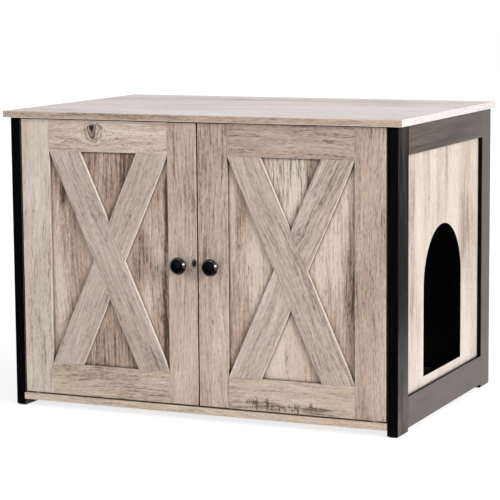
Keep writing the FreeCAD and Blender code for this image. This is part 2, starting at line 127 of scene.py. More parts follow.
def node(tree, kind, *values, at=(0, 1, 2), **named):
    """Add a node and give its outputs. The values go to the sockets numbered in at. A name with a
    capital is a socket's, and one with a small letter is a setting of the node itself."""
    made = tree.nodes.new("ShaderNode" + kind)
    for name, value in named.items():
        if name[0].isupper():
            feed_named(tree, made.inputs, **{name: value})
        else:
            setattr(made, name, value)
    for index, value in zip(at, values):
        feed(tree, value, made.inputs[index])
    return made.outputs


def math_node(tree, operation, *values):
    """Result of a Math node on one, two or three values."""
    return node(tree, "Math", *values, operation=operation)[0]


def times(tree, first, second, added=0.0):
    """Product of two values, plus a third."""
    return math_node(tree, "MULTIPLY_ADD", first, second, added)


def centred(tree, value, swing):
    """A value from 0 to 1 made into one that swings as far to each side of 0."""
    return times(tree, value, swing, -swing / 2)


def vector_node(tree, operation, *values):
    """Vector or length that a Vector Math node gives."""
    made = node(tree, "VectorMath", *values, operation=operation)
    return made["Value" if operation in ("LENGTH", "DOT_PRODUCT") else "Vector"]


def shifted_across(tree, vector, amount):
    """The vector moved across the grain."""
    across = node(tree, "CombineXYZ", 0.0, 0.0, amount)[0]
    return vector_node(tree, "ADD", vector, across)


def ramp(tree, value, low, high, start=0.0, end=1.0):
    """Smooth step from start to end while value goes from low to high."""
    return node(tree, "MapRange", interpolation_type="SMOOTHSTEP", Value=value, From_Min=low,
                From_Max=high, To_Min=start, To_Max=end)["Result"]


def mixed(tree, factor, first, second, blend="MIX"):
    """Colour between two colours."""
    return node(tree, "Mix", factor, first, second, at=(0, 6, 7), data_type="RGBA",
                blend_type=blend)[2]


def noise(tree, vector, stretch, detail=2.0, roughness=0.5):
    """Noise from 0 to 1, squeezed by the three stretch values."""
    scaled = vector_node(tree, "MULTIPLY", vector, stretch)
    return node(tree, "TexNoise", Vector=scaled, Scale=1.0, Detail=detail,
                Roughness=roughness)[0]


def node_group(name, **inputs):
    """Turn a function that wires a node group into the group itself. The inputs are listed with
    their usual values; the function takes them in that order and gives the outputs by name."""
    def build(wire):
        tree = bpy.data.node_groups.new(name, "ShaderNodeTree")
        for label, value in inputs.items():
            kind = "Float" if isinstance(value, float) else {3: "Vector", 4: "Color"}[len(value)]
            tree.interface.new_socket(label, in_out="INPUT",
                                      socket_type="NodeSocket" + kind).default_value = value
        given = tree.nodes.new("NodeGroupInput").outputs
        results = wire(tree, *[given[label] for label in inputs])
        for label in results:
            kind = label if label in ("Vector", "Color") else "Float"
            tree.interface.new_socket(label, in_out="OUTPUT", socket_type="NodeSocket" + kind)
        feed_named(tree, tree.nodes.new("NodeGroupOutput").inputs, **results)
        print("group:", name)
        return tree
    return build


def use_group(tree, group, **inputs):
    """Place a node group in a material with its own values."""
    return node(tree, "Group", node_tree=group, **inputs)


def new_finish(name, **surface):
    """Material with one Principled shader; surface sets the shader's own sockets."""
    material = bpy.data.materials.new(name)
    material.use_nodes = True
    tree = material.node_tree
    shader = tree.nodes["Principled BSDF"].inputs
    feed_named(tree, shader, **surface)
    return material, tree, shader


def relief(tree, shader, height, strength, depth):
    """Bump on the shader from a height between 0 and 1; depth is in metres."""
    made = node(tree, "Bump", Height=height, Strength=strength, Distance=depth)
    feed_named(tree, shader, Normal=made["Normal"])


print("node helpers ready")

# %% [markdown]
# ## The studio
# The cabinet stands on a plain pale floor in front of white. The white is only for the camera and
# for reflections: a Light Path node tells those rays from the ones that light the object, so the
# light stays at a plain level and no colour is washed out. The floor shows some of its own shading
# under a glow that reaches white away from the cabinet, which keeps the soft shadow and hides the
# horizon.

# %% Floor and white surroundings
def seen_directly(tree):
    """1 for rays that show the surroundings: from the camera, in a gloss or through glass."""
    path = node(tree, "LightPath")
    mirrored = math_node(tree, "MAXIMUM", path["Is Glossy Ray"], path["Is Transmission Ray"])
    return math_node(tree, "MAXIMUM", path["Is Camera Ray"], mirrored)


white = (1, 1, 1, 1)
ambient_level = 0.36
near_glow = 0.78
near_radius = 0.5
far_radius = 2.5
floor_colour = (0.8, 0.8, 0.8, 1.0)
floor_shading_seen = (0.34, 0.34, 0.34, 1.0)
floor_side = 24.0

world = bpy.data.worlds.new("white surroundings")
bpy.context.scene.world = world
world.use_nodes = True
world_tree = world.node_tree
strength = node(world_tree, "MapRange", Value=seen_directly(world_tree), To_Min=ambient_level,
                To_Max=1.0)["Result"]
feed_named(world_tree, world_tree.nodes["Background"].inputs, Color=white, Strength=strength)

bpy.ops.mesh.primitive_plane_add(size=floor_side)
floor = bpy.context.object
floor.name = "studio_floor"
floor_material = bpy.data.materials.new("pale studio floor")
floor_material.use_nodes = True
floor_tree = floor_material.node_tree
floor_tree.nodes.remove(floor_tree.nodes["Principled BSDF"])
lighting_floor = node(floor_tree, "BsdfDiffuse", floor_colour)[0]
shaded_floor = node(floor_tree, "BsdfDiffuse", floor_shading_seen)[0]
from_cabinet = vector_node(floor_tree, "LENGTH", node(floor_tree, "TexCoord")["Object"])
glow_level = ramp(floor_tree, from_cabinet, near_radius, far_radius, near_glow, 1.0)
glow = node(floor_tree, "Emission", white, glow_level)[0]
shown_floor = node(floor_tree, "AddShader", shaded_floor, glow)[0]
choice = node(floor_tree, "MixShader", seen_directly(floor_tree), lighting_floor, shown_floor)[0]
feed_named(floor_tree, floor_tree.nodes["Material Output"].inputs, Surface=choice)
floor.data.materials.append(floor_material)
print("floor and surroundings ready")

# %% [markdown]
# ## The lamps
# The right side of the cabinet is much brighter than its front, and each raised edge on the doors
# throws a narrow shadow to its left, so the main light is a soft box on the right that reaches the
# doors at about twenty degrees. A weaker one in front keeps the doors at a plain level, and one
# overhead lights the top board. The black pieces look black because dark cards stand before the
# doors and beyond the side, and one lies under the doors, as in a photographer's studio: only
# gloss sees them, so they take no light from the wood.

# %% Lamps
def soft_lamp(name, place, aim, size, watts):
    """Square soft box at a place, turned to face a point."""
    data = bpy.data.lights.new(name, "AREA")
    data.size = size
    data.energy = watts
    lamp = bpy.data.objects.new(name, data)
    lamp.location = place
    lamp.rotation_euler = (Vector(aim) - Vector(place)).to_track_quat("-Z", "Y").to_euler()
    bpy.context.scene.collection.objects.link(lamp)
    return lamp


cabinet_middle = (solid_low + solid_high) / 2
soft_lamp("right_box", (4.1, -2.15, 1.7), cabinet_middle, 1.5, 205)
soft_lamp("front_box", (-0.7, -3.2, 0.9), cabinet_middle, 1.8, 21)
soft_lamp("overhead_box", (0.3, 0.1, 2.6), cabinet_middle, 1.8, 21)


def dark_card(name, low, high):
    """Black card between two corners, upright or flat, that only gloss can see."""
    bpy.ops.mesh.primitive_plane_add(size=1)
    card = bpy.context.object
    card.name = name
    middle = (Vector(low) + Vector(high)) / 2
    size = Vector(high) - Vector(low)
    upright = Matrix.Rotation(math.pi / 2 if size.z > 0 else 0, 4, "X")
    card.data.transform(Matrix.Translation(middle)
                        @ Matrix.Diagonal((size.x, size.y or 1, size.z or 1, 1)) @ upright)
    for rays in ("camera", "diffuse", "transmission", "volume_scatter", "shadow"):
        setattr(card, f"visible_{rays}", False)
    card.data.materials.append(card_black)


card_black = new_finish("card black", Base_Color=(0, 0, 0, 1), Specular_IOR_Level=0.0)[0]
dark_card("card_before_doors", (-1.8, -0.60, -0.1), (0.42, -0.60, 1.5))
dark_card("card_under_doors", (-1.8, -0.60, 0.001), (0.60, -0.28, 0.001))
dark_card("card_beyond_side", (0.60, 0.75, -0.2), (2.0, 0.75, 1.2))
print("three lamps and three dark cards ready")

# %% [markdown]
# ## Which way the grain runs
# Printed foil follows each board: along a rail, up a stile, along a brace. All wood patterns below
# are drawn with the grain along X and the board's width along Z, so this first group turns the
# place of each point into that lay. On a board's ends the width takes the grain's part, because
# the edge band is printed too. The shift makes each board a different cut of the same tree.

# %% Node group: lay of the grain
NOWHERE = (0, 0, 0)
PLAIN_GREY = (0.5, 0.5, 0.5, 1)
end_facing = 0.7


@node_group("lay of the grain", Turn=NOWHERE, Shift=NOWHERE)
def lay_of_grain(tree, turn, shift):
    here = node(tree, "TexCoord")
    point = node(tree, "Mapping", Vector=here["Object"], Rotation=turn)[0]
    facing = node(tree, "Mapping", vector_type="VECTOR", Vector=here["Normal"], Rotation=turn)[0]
    parts = node(tree, "SeparateXYZ", point)
    swapped = node(tree, "CombineXYZ", parts["Z"], parts["Y"], parts["X"])[0]
    along = math_node(tree, "ABSOLUTE", node(tree, "SeparateXYZ", facing)["X"])
    end_on = math_node(tree, "GREATER_THAN", along, end_facing)
    laid = node(tree, "Mix", end_on, point, swapped, at=(0, 4, 5), data_type="VECTOR")[1]
    return {"Vector": vector_node(tree, "ADD", laid, shift)}

# %% [markdown]
# ## Knots
# A knot is where a branch grew. The long grain parts and flows round it, and inside are tight
# rings about a dark heart. The group bends the pattern's own coordinates at the knot, so whatever
# is drawn with them afterwards flows round it, and gives masks for the heart and the rings.

# %% Node group: knot
knot_flattening = (0.8, 0, 1)
knot_raggedness = 1.1
grain_pull = -0.86
ring_angle_per_radius = 7.5


@node_group("knot", Vector=NOWHERE, Centre=NOWHERE, Radius=0.01)
def knot(tree, vector, centre, radius):
    away = vector_node(tree, "SUBTRACT", vector, centre)
    ragged = centred(tree, noise(tree, away, (60, 60, 60), 3), knot_raggedness)
    distance = vector_node(tree, "LENGTH", vector_node(tree, "MULTIPLY", away, knot_flattening))
    radii = math_node(tree, "ADD", math_node(tree, "DIVIDE", distance, radius), ragged)
    near = ramp(tree, radii, 0.3, 4.2, 1.0, 0.0)
    across = node(tree, "SeparateXYZ", away)["Z"]
    pull = times(tree, times(tree, across, near), grain_pull)
    wave = math_node(tree, "SINE", times(tree, radii, ring_angle_per_radius))
    ringed = ramp(tree, radii, 1.0, 3.2, 1.0, 0.0)
    return {"Vector": shifted_across(tree, vector, pull),
            "Heart": ramp(tree, radii, 0.35, 1.0, 1.0, 0.0),
            "Rings": times(tree, ramp(tree, wave, 0.1, 0.9), ringed)}

# %% [markdown]
# ## Drying cracks and soft patches
# Old boards have small dark cracks where they dried, in clusters. They are short, thin and follow
# the grain, or cross it where a saw tore the fibres. One stretched noise gives the crack shapes,
# and a soft oval keeps them to their own place. A soft patch is such an oval by itself, with a
# ragged edge, for places that are paler or darker.

# %% Node groups: drying cracks, soft patch
OVAL = {"Vector": NOWHERE, "Centre": NOWHERE, "Reach": (0.1, 1, 0.03)}
crack_waver = 0.006
patch_raggedness = 0.9


def oval_distance(tree, away, reach):
    """How far out a point lies, as a share of the oval's reach along and across the grain."""
    shares = vector_node(tree, "DIVIDE", away, reach)
    return vector_node(tree, "LENGTH", vector_node(tree, "MULTIPLY", shares, (1, 0, 1)))


@node_group("drying cracks", **OVAL, Stretch=(34, 420, 420), Amount=0.5)
def drying_cracks(tree, vector, centre, reach, stretch, amount):
    away = vector_node(tree, "SUBTRACT", vector, centre)
    inside = ramp(tree, oval_distance(tree, away, reach), 0.45, 1.05, 1.0, 0.0)
    waver = times(tree, noise(tree, vector, (40, 90, 90), 2), crack_waver)
    lines = noise(tree, shifted_across(tree, vector, waver), stretch, 3, 0.7)
    depth = times(tree, amount, 0.1, lines)
    return {"Mask": times(tree, ramp(tree, depth, 0.62, 0.72), inside)}


@node_group("soft patch", **OVAL)
def soft_patch(tree, vector, centre, reach):
    away = vector_node(tree, "SUBTRACT", vector, centre)
    ragged = noise(tree, away, (14, 60, 60), 3, 0.6)
    distance = times(tree, ragged, patch_raggedness, oval_distance(tree, away, reach))
    return {"Mask": ramp(tree, distance, 0.6, 1.5, 1.0, 0.0)}

# %% [markdown]
# ## Weathered oak foil
# The print is built as the eye reads it, from broad to fine: soft clouds, bands two centimetres
# wide, long streaks, short broken ones, fibres, specks the size of a grain of rice, and thin dark
# pores. A slow sway keeps the lines from being ruler-straight. Each layer swings the tone to both
# sides of its middle, and that one value blends three colours, so a board's character is set by
# its colours and strengths alone. Fibres and pores also give the height, and the fibres the
# roughness, as on embossed foil.

# %% Node group: weathered oak
oak_sway = 0.06
middle_tone = 0.52
pore_depth = 0.6
brown_stain = tint(226, 205, 182)
mark_brown = tint(40, 31, 26)


@node_group("weathered oak", Vector=NOWHERE, Pale=PLAIN_GREY, Middle=PLAIN_GREY, Dark=PLAIN_GREY,
            Bands=0.5, Streaks=1.0, Specks=1.0, Stain=0.3, Lift=0.0, Marks=0.0)
def weathered_oak(tree, start, pale, middle, dark, bands, streaks, specks, stain, lift, marks):
    sway = centred(tree, noise(tree, start, (2.2, 5, 5), 2), oak_sway)
    flow = shifted_across(tree, start, sway)
    fibres = noise(tree, flow, (30, 950, 950), 2)
    layers = ((bands, 1.1, noise(tree, start, (4.5, 13, 13), 3)),
              (bands, 0.6, noise(tree, flow, (1.6, 48, 48), 3, 0.55)),
              (streaks, 0.6, noise(tree, flow, (5, 190, 190), 4, 0.65)),
              (streaks, 0.95, noise(tree, flow, (17, 290, 290), 4, 0.7)),
              (streaks, 0.4, fibres),
              (specks, 0.7, noise(tree, flow, (120, 560, 560), 2, 0.6)))
    tone = math_node(tree, "ADD", lift, middle_tone)
    for strength, swing, layer in layers:
        tone = times(tree, centred(tree, layer, swing), strength, tone)
    colour = mixed(tree, ramp(tree, tone, 0.14, 0.5), dark, middle)
    colour = mixed(tree, ramp(tree, tone, 0.46, 0.86), colour, pale)

    brown_areas = ramp(tree, noise(tree, flow, (2.0, 11, 11), 2), 0.42, 0.7)
    pores = ramp(tree, noise(tree, flow, (60, 1200, 1200), 1), 0.62, 0.72)
    colour = mixed(tree, times(tree, brown_areas, stain), colour, brown_stain, "MULTIPLY")
    colour = mixed(tree, times(tree, pores, pore_depth), colour, dark)
    return {"Color": mixed(tree, marks, colour, mark_brown),
            "Roughness": times(tree, fibres, 0.2, 0.38),
            "Height": times(tree, marks, -0.5, times(tree, pores, -0.6, fibres))}

# %% [markdown]
# ## Painted shade in corners; wear and painted light on edges
# Where one board is laid on another, painted shade darkens the inner corner to a thin line. How
# closely a point is shut in by its neighbours tells where those corners are; a wedge between two
# boards is shut in twice over, so its painted shadow turns almost black. On the outer edges the
# foil has a pale line, partly wear and partly a painted highlight where the arris would catch the
# light: there a rounded normal leaves the true one, and the difference marks the edge. Where an
# edge colour is dark, the line is painted shade instead.

# %% Node groups: painted corner shade, edge wear and painted light
painted_shade_brown = tint(44, 34, 28)
painted_wedge_shadow = tint(14, 10, 8)
PALE_WEAR_AND_HIGHLIGHT = tint(232, 220, 208)


# Painted shade: the colour turns brown where a point is shut in by its neighbours, and almost
# black in a wedge.
@node_group("corner dust", Color=PLAIN_GREY, Amount=0.5, Reach=0.006, Wedge=0.5)
def painted_corner_shade(tree, colour, amount, reach, wedge):
    openness = node(tree, "AmbientOcclusion", samples=8, Distance=reach)["AO"]
    dust = times(tree, ramp(tree, openness, 0.48, 0.9, 1.0, 0.0), amount)
    closeness = math_node(tree, "SUBTRACT", 1.0, openness)
    shut_in = times(tree, math_node(tree, "POWER", closeness, 3.0), wedge)
    return {"Color": mixed(tree, shut_in, mixed(tree, dust, colour, painted_shade_brown), painted_wedge_shadow)}


# Pale line on outer edges: wear of the foil and painted highlight; with a dark Edge colour it is
# painted shade.
@node_group("worn edge", Color=PLAIN_GREY, Amount=0.45, Width=0.0012, Edge=PALE_WEAR_AND_HIGHLIGHT)
def edge_wear_and_painted_light(tree, colour, amount, width, edge):
    rounded = node(tree, "Bevel", samples=6, Radius=width)["Normal"]
    true_normal = node(tree, "NewGeometry")["True Normal"]
    agreement = vector_node(tree, "DOT_PRODUCT", rounded, true_normal)
    worn = times(tree, ramp(tree, agreement, 0.84, 0.995, 1.0, 0.0), amount)
    return {"Color": mixed(tree, worn, colour, edge)}

# %% [markdown]
# ## A finish for every oak board
# Each board has its own material, because its grain has its own direction, its own cut and its own
# knots. A turn brings the board's grain to X. Knots and cracks are given where they lie on the
# cabinet, in metres, and the same turn and shift carry them into the pattern.

# %% How an oak board is finished
RAIL_LAY = (0, 0, 0)
STILE_LAY = (0, math.pi / 2, 0)
FLAT_LAY = (math.pi / 2, 0, 0)
SIDE_LAY = (math.pi / 2, 0, -math.pi / 2)
SIDE_RAIL_LAY = (0, 0, -math.pi / 2)
brace_end_cut = 0.062
crack_darkness = 0.65
cut = random.Random(20)


def brace_lay(name, falls_right):
    """Turn for a slanting brace, from the box of the long brace on the same door."""
    low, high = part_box(name)
    run = high.x - low.x - brace_end_cut
    drop = high.z - low.z
    return (0, math.atan2(-drop if falls_right else drop, run), 0)


def new_board(name, turn, **surface):
    """Material for one board, cut at a new place in the tree. Besides the material it gives a
    function that says where a place on the cabinet is in the board's pattern."""
    shift = (cut.uniform(-4, 4), cut.uniform(-4, 4), cut.uniform(-4, 4))
    material, tree, shader = new_finish(name, **surface)
    pattern = use_group(tree, lay_of_grain, Turn=turn, Shift=shift)["Vector"]

    def laid_out(place):
        return Euler(turn).to_matrix() @ Vector(place) + Vector(shift)

    return material, tree, shader, pattern, laid_out


def oak_finish(name, turn, tones, knots=(), cracks=(), patches=(), lift=0.0,
               dust=(0.5, 0.006, 0.5), worn=(0.45, 0.0012), edge=PALE_WEAR_AND_HIGHLIGHT, gloss=0.35,
               **strengths):
    """Oak material for one board. A knot has a place, a radius and how dark its heart and rings
    are; a cluster of cracks or a patch has a place, its reach along and across the grain, and an
    amount; cracks also have the stretch of their noise. The painted corner shade has an amount, a
    reach and how dark it makes a wedge; the edge wear and painted light has an amount and a
    width, and the edge its colour."""
    material, tree, shader, pattern, laid_out = new_board(name, turn, IOR=1.45,
                                                          Specular_IOR_Level=gloss)
    marks = 0.0
    for place, radius, heart_darkness, ring_darkness in knots:
        made = use_group(tree, knot, Vector=pattern, Centre=laid_out(place), Radius=radius)
        pattern = made["Vector"]
        for mask, darkness in (("Heart", heart_darkness), ("Rings", ring_darkness)):
            marks = math_node(tree, "MAXIMUM", marks, times(tree, made[mask], darkness))
    for place, along, across, amount, stretch in cracks:
        made = use_group(tree, drying_cracks, Vector=pattern, Centre=laid_out(place),
                         Reach=(along, 1, across), Amount=amount, Stretch=stretch)
        marks = math_node(tree, "MAXIMUM", marks, times(tree, made["Mask"], crack_darkness))
    for place, along, across, amount in patches:
        made = use_group(tree, soft_patch, Vector=pattern, Centre=laid_out(place),
                         Reach=(along, 1, across))
        lift = times(tree, made["Mask"], amount, lift)
    pale, middle, dark = tones
    oak = use_group(tree, weathered_oak, Vector=pattern, Pale=pale, Middle=middle, Dark=dark,
                    Lift=lift, Marks=marks, **strengths)
    corner_shaded = use_group(tree, painted_corner_shade, Color=oak["Color"], Amount=dust[0], Reach=dust[1],
                      Wedge=dust[2])
    edged = use_group(tree, edge_wear_and_painted_light, Color=corner_shaded["Color"], Amount=worn[0], Width=worn[1],
                      Edge=edge)
    feed_named(tree, shader, Base_Color=edged["Color"], Roughness=oak["Roughness"])
    relief(tree, shader, oak["Height"], 0.35, 0.0004)
    return material


def dress(name, material):
    """Give a solid node its finish."""
    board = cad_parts[name]
    board.data.materials.clear()
    board.data.materials.append(material)


def dress_faces(name, material, chosen):
    """Give some faces of a solid node a further finish; tells how many."""
    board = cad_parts[name]
    board.data.materials.append(material)
    faces = [face for face in board.data.polygons if chosen(face)]
    for face in faces:
        face.material_index = len(board.data.materials) - 1
    return len(faces)


print("oak boards can be finished")

# %% [markdown]
# ## The oak boards
# Seen side by side, the boards differ: beige rails and stiles with a paler stile at the left,
# brown door boards, greyer braces, a cream side and an almost white top, whose greyish white is
# partly a painted reflection of the white surroundings. The knots, cracks and patches that catch
# the eye are listed with the board that has them; a few narrow dark patches beside the stiles are
# painted shadow. Each row begins with the two measures that place it on the board's face, x and z
# on the doors, x and y on the top, y and z on the side, and then says how far it reaches. All
# these lengths are in millimetres.

# %% Marks on the oak boards
FRONT, BEHIND = -0.2435, -0.2375
TOP, SIDE = 0.545, 0.367
knots_on = {
    "top_board": [(0, 322, 4, 0.7, 0.4)],
    "left_door_top_rail": [(-199, 506, 9, 0, 0.3), (-208, 510, 6, 1.2, 0.8)],
    "left_meeting_stile": [(-6.5, 282.5, 6.2, 2, 0.3)],
    "right_meeting_stile": [(28, 181, 3, 0.4, 0.2)],
    "right_hinge_stile": [(338, 451, 4, 0.25, 0.15)],
    "right_upper_half_brace": [(224, 413.5, 3, 0.6, 0.4), (194.5, 343.5, 4, 0.5, 0.3)],
    "left_long_brace": [(-145, 251, 3, 0.4, 0.2)],
    "right_door_board": [(77, 316, 3, 0.6, 0.4)],
    "left_door_board": [(-275, 350, 3, 0.4, 0.2)],
    "right_side_panel": [(143, 452, 4, 0.25, 0.15)],
}
ALONG, SWIRL, TORN = (34, 420, 420), (60, 260, 260), (210, 95, 95)
cracks_on = {
    "top_board": [(-50, 200, 400, 70, 0.3, ALONG)],
    "left_meeting_stile": [(-20, 279, 20, 8, 0.5, ALONG), (-30, 120, 100, 20, 0.3, ALONG)],
    "left_door_top_rail": [
        (-260, 487, 70, 14, 0.8, (50, 300, 300)), (-120, 495, 130, 25, 0.5, (60, 320, 320)),
        (-190, 507, 50, 20, 0.8, SWIRL)],
    "left_door_board": [
        (-270, 360, 100, 25, 0.7, ALONG), (-170, 430, 100, 50, 0.4, ALONG),
        (-85, 220, 160, 30, 0.5, ALONG)],
    "left_hinge_stile": [(-330, 200, 160, 30, 0.2, ALONG)],
    "left_long_brace": [(-200, 360, 120, 30, 0.3, ALONG)],
    "right_door_bottom_rail": [
        (102, 42.3, 15, 6.5, 2, TORN), (111.6, 38.5, 3.8, 14, 3, TORN),
        (132, 39.5, 4.2, 15, 3, TORN), (152, 34.6, 26, 7.5, 1.6, TORN),
        (179, 37.9, 12, 9.5, 1.6, TORN), (190, 34.5, 3.8, 11, 2.6, TORN),
        (214.5, 40.7, 4.4, 11, 3, TORN), (226, 38, 38, 4.2, 2.4, TORN)],
    "right_door_board": [
        (185, 440, 110, 75, 1.2, (22, 330, 330)), (167, 105, 50, 8, 0.8, ALONG),
        (85, 300, 150, 30, 0.5, ALONG)],
    "right_upper_half_brace": [(210, 390, 80, 20, 0.4, ALONG)],
    "right_side_panel": [(50, 420, 100, 40, 0.2, ALONG)],
}
patches_on = {
    "top_board": [(50, 180, 500, 70, -0.16)],
    "left_door_bottom_rail": [(-260, 70, 160, 22, -0.14)],
    "right_door_bottom_rail": [(128, 39, 45, 12, -0.16), (205, 38, 45, 10, -0.16)],
    "left_hinge_stile": [(-330, 390, 100, 30, 0.12), (-330, 200, 120, 30, -0.15)],
    "left_meeting_stile": [(-30, 90, 140, 50, 0.25)],
    "left_door_board": [
        (-285, 300, 260, 35, 0.24), (-272, 400, 50, 12, -0.45), (-90, 280, 300, 50, 0.22),
        # The narrow dark strips at x -62 and -68 are painted shadow on the board beside the
        # meeting stile.
        (-115, 285, 70, 25, -0.32), (-62, 360, 120, 9, -0.6), (-68, 200, 160, 8, -0.35),
        (-190, 120, 100, 60, -0.1), (-180, 450, 80, 70, -0.12)],
    "right_door_board": [
        (180, 420, 140, 60, 0.4), (215, 450, 80, 20, -0.5), (115, 285, 120, 25, 0.24),
        # The narrow dark strip at x 78 is painted shade in the wedge beside the meeting stile.
        (165, 120, 130, 60, 0.3), (287, 270, 130, 30, -0.35), (78, 380, 100, 12, -0.18)],
    "right_meeting_stile": [(30, 100, 140, 50, 0.12)],
    "right_hinge_stile": [(340, 100, 140, 50, 0.12)],
    "right_side_panel": [
        (-150, 380, 300, 50, -0.08), (-40, 400, 220, 25, 0.12), (30, 420, 200, 12, -0.12),
        (65, 400, 200, 18, 0.1), (140, 300, 340, 50, -0.12), (0, 60, 200, 300, 0.2)],
}
# The top board's lift is part of its painted reflection.
lift_on = {"left_meeting_stile": -0.05, "left_door_top_rail": 0.07, "left_long_brace": -0.05,
           "right_meeting_stile": -0.08, "right_hinge_stile": -0.08, "right_door_top_rail": -0.11,
           "right_door_bottom_rail": -0.07, "right_long_brace": -0.08,
           "right_upper_half_brace": -0.07, "right_door_board": 0.09, "right_side_panel": 0.03,
           "left_door_bottom_rail": -0.06, "left_lower_half_brace": -0.04, "top_board": 0.05}


def placed_rows(table, name, lengths):
    """A board's rows of a table, with so many leading lengths made metres, and the first two of
    them made into a place on the board's face."""
    rows = []
    for row in table.get(name, ()):
        first, second, *reach = (length / 1000 for length in row[:lengths])
        if name == "top_board":
            place = (first, second, TOP)
        elif name == "right_side_panel":
            place = (SIDE, first, second)
        else:
            place = (first, BEHIND if name.endswith("door_board") else FRONT, second)
        rows.append((place, *reach, *row[lengths:]))
    return rows


print("boards with marks:", len(set(knots_on) | set(cracks_on) | set(patches_on)))

# %% [markdown]
# ## Dressing the boards
# A board's colours are three tones, for the pale, the middle and the dark parts of its print. The
# sawn edges between the doors lie in a deep gap, so they get a finish of their own without gloss
# and with strong painted shade. The braces' faces to their right get paler tones as a painted
# highlight, and the top board has an edge band in front, darker as painted shade, while its ends
# are paler as painted light.

# %% Oak boards
BEIGE_OAK = (tint(212, 197, 185), tint(184, 164, 150), tint(118, 98, 84))
PALE_OAK = (tint(214, 204, 194), tint(196, 182, 170), tint(138, 120, 105))
TAN_OAK = (tint(204, 185, 170), tint(174, 154, 140), tint(110, 90, 76))
BROWN_OAK = (tint(208, 193, 181), tint(173, 152, 138), tint(98, 78, 65))
SAND_OAK = (tint(216, 203, 188), tint(191, 174, 158), tint(126, 108, 93))
WHITE_OAK = (tint(222, 213, 209), tint(202, 190, 185), tint(138, 122, 114))
CREAM_OAK = (tint(222, 211, 201), tint(204, 189, 177), tint(134, 115, 100))
GREY_OAK = (tint(206, 191, 182), tint(180, 163, 153), tint(118, 102, 92))
NO_CORNER_SHADE = (0.0, 0.006, 0.0)
gap_reach = 0.01


def oak_board(name, turn, tones=BEIGE_OAK, **strengths):
    """Dress one board in oak with the marks and the lift that are listed for it."""
    marks = [placed_rows(table, name, lengths)
             for table, lengths in ((knots_on, 3), (cracks_on, 4), (patches_on, 4))]
    dress(name, oak_finish("oak_" + name, turn, tones, *marks, lift_on.get(name, 0.0),
                           **strengths))


def faces_gap(face):
    """True for a face of a door's sawn edge where the two doors meet."""
    return abs(face.normal.x) > 0.7 and abs(face.center.x) < gap_reach


def looks_right(face):
    """True for the edge of a brace that is turned to the right."""
    return face.normal.x > 0.3 and abs(face.normal.y) < 0.5


# The top board's pale print is made greyer and paler as a painted reflection of the white
# surroundings, and its arrises get a wide pale line, wear and painted highlight.
oak_board("top_board", FLAT_LAY, WHITE_OAK, dust=NO_CORNER_SHADE, worn=(1.0, 0.003), Stain=0.0,
          Streaks=1.2)
oak_board("bottom_board", FLAT_LAY, SAND_OAK, dust=(0.6, 0.004, 0.5))
for side in SIDES:
    oak_board(f"{side}_side_panel", SIDE_LAY, CREAM_OAK, Stain=0.1, Bands=0.75, Streaks=0.8,
              Specks=0.7)
for side, stile, rail, rail_streaks, brace_streaks, brace_painted_edge_light in (
        ("left", PALE_OAK, BEIGE_OAK, 1.0, 1.0, 0.4),
        ("right", TAN_OAK, TAN_OAK, 0.75, 1.15, 0.1)):
    # Door boards: wide painted shade in their corners, and painted shadow almost black in the
    # wedges beside the braces.
    oak_board(f"{side}_door_board", STILE_LAY, BROWN_OAK, dust=(0.6, 0.014, 2.6), Bands=0.8,
              Streaks=1.15)
    oak_board(f"{side}_hinge_stile", STILE_LAY, stile)
    # Meeting stiles: full painted shade in their corners, and along the gap between the doors
    # their edges take a dark brown, painted shade.
    oak_board(f"{side}_meeting_stile", STILE_LAY, dust=(1.0, 0.006, 0.5), worn=(0.7, 0.0014),
              edge=tint(58, 46, 38), Stain=0.35)
    # The sawn faces in the gap get strong painted shade, nearly black deep in the gap, and no
    # gloss.
    gap_face = oak_finish(f"oak_gap_{side}", STILE_LAY, BROWN_OAK, dust=(1.0, 0.04, 2.0),
                          worn=(0.0, 0.001), gloss=0.0)
    for piece in ("meeting_stile", "door_board"):
        dress_faces(f"{side}_{piece}", gap_face, faces_gap)
    oak_board(f"{side}_door_top_rail", RAIL_LAY, rail, Streaks=rail_streaks)
    oak_board(f"{side}_door_bottom_rail", RAIL_LAY, SAND_OAK, Stain=0.1)
    for piece in ("long_brace", "upper_half_brace", "lower_half_brace"):
        turn = brace_lay(f"{side}_long_brace", piece == "long_brace")
        oak_board(f"{side}_{piece}", turn, GREY_OAK, dust=(0.3, 0.006, 0.3), Stain=0.1,
                  Streaks=brace_streaks)
        # Brace faces turned to the right get paler tones: painted highlight where the light from
        # the right falls on them.
        brace_lit_edge = oak_finish(f"oak_edge_{side}_{piece}", turn, CREAM_OAK, dust=NO_CORNER_SHADE,
                                lift=brace_painted_edge_light, worn=(0.8, 0.0012), Stain=0.0)
        dress_faces(f"{side}_{piece}", brace_lit_edge, looks_right)
# The top board's front edge band gets darker tones, painted shade of a face turned to the front,
# and a pale arris line, wear and painted highlight.
front_edge_band_painted_shade = oak_finish("oak_top_front_edge", RAIL_LAY, TAN_OAK, lift=-0.06, dust=NO_CORNER_SHADE,
                       worn=(1.0, 0.0020), Stain=0.0, Streaks=0.75)
dress_faces("top_board", front_edge_band_painted_shade, lambda face: face.normal.y < -0.7)
# The top board's ends get nearly white tones, painted light from the side.
end_edges_painted_light = oak_finish("oak_top_side_edge", SIDE_RAIL_LAY, WHITE_OAK, lift=0.3, dust=NO_CORNER_SHADE,
                       Stain=0.0, Bands=0.2)
dress_faces("top_board", end_edges_painted_light, lambda face: abs(face.normal.x) > 0.7)
print("oak boards:", sum(m.name.startswith("oak_") for m in bpy.data.materials))

# %% [markdown]
# ## The dark frame
# Posts and rails wear a black foil with a shallow wood grain. Seen straight on it is almost a flat
# black; seen at a slant, the raised grain catches the light and looks brown-grey. That light is
# painted into the colour: the faces to the front take the deeper tones, and those to the sides
# paler brown-grey ones, darker on the front posts and lighter on the back posts and rails, with
# the front posts darker higher up and lighter near the floor.

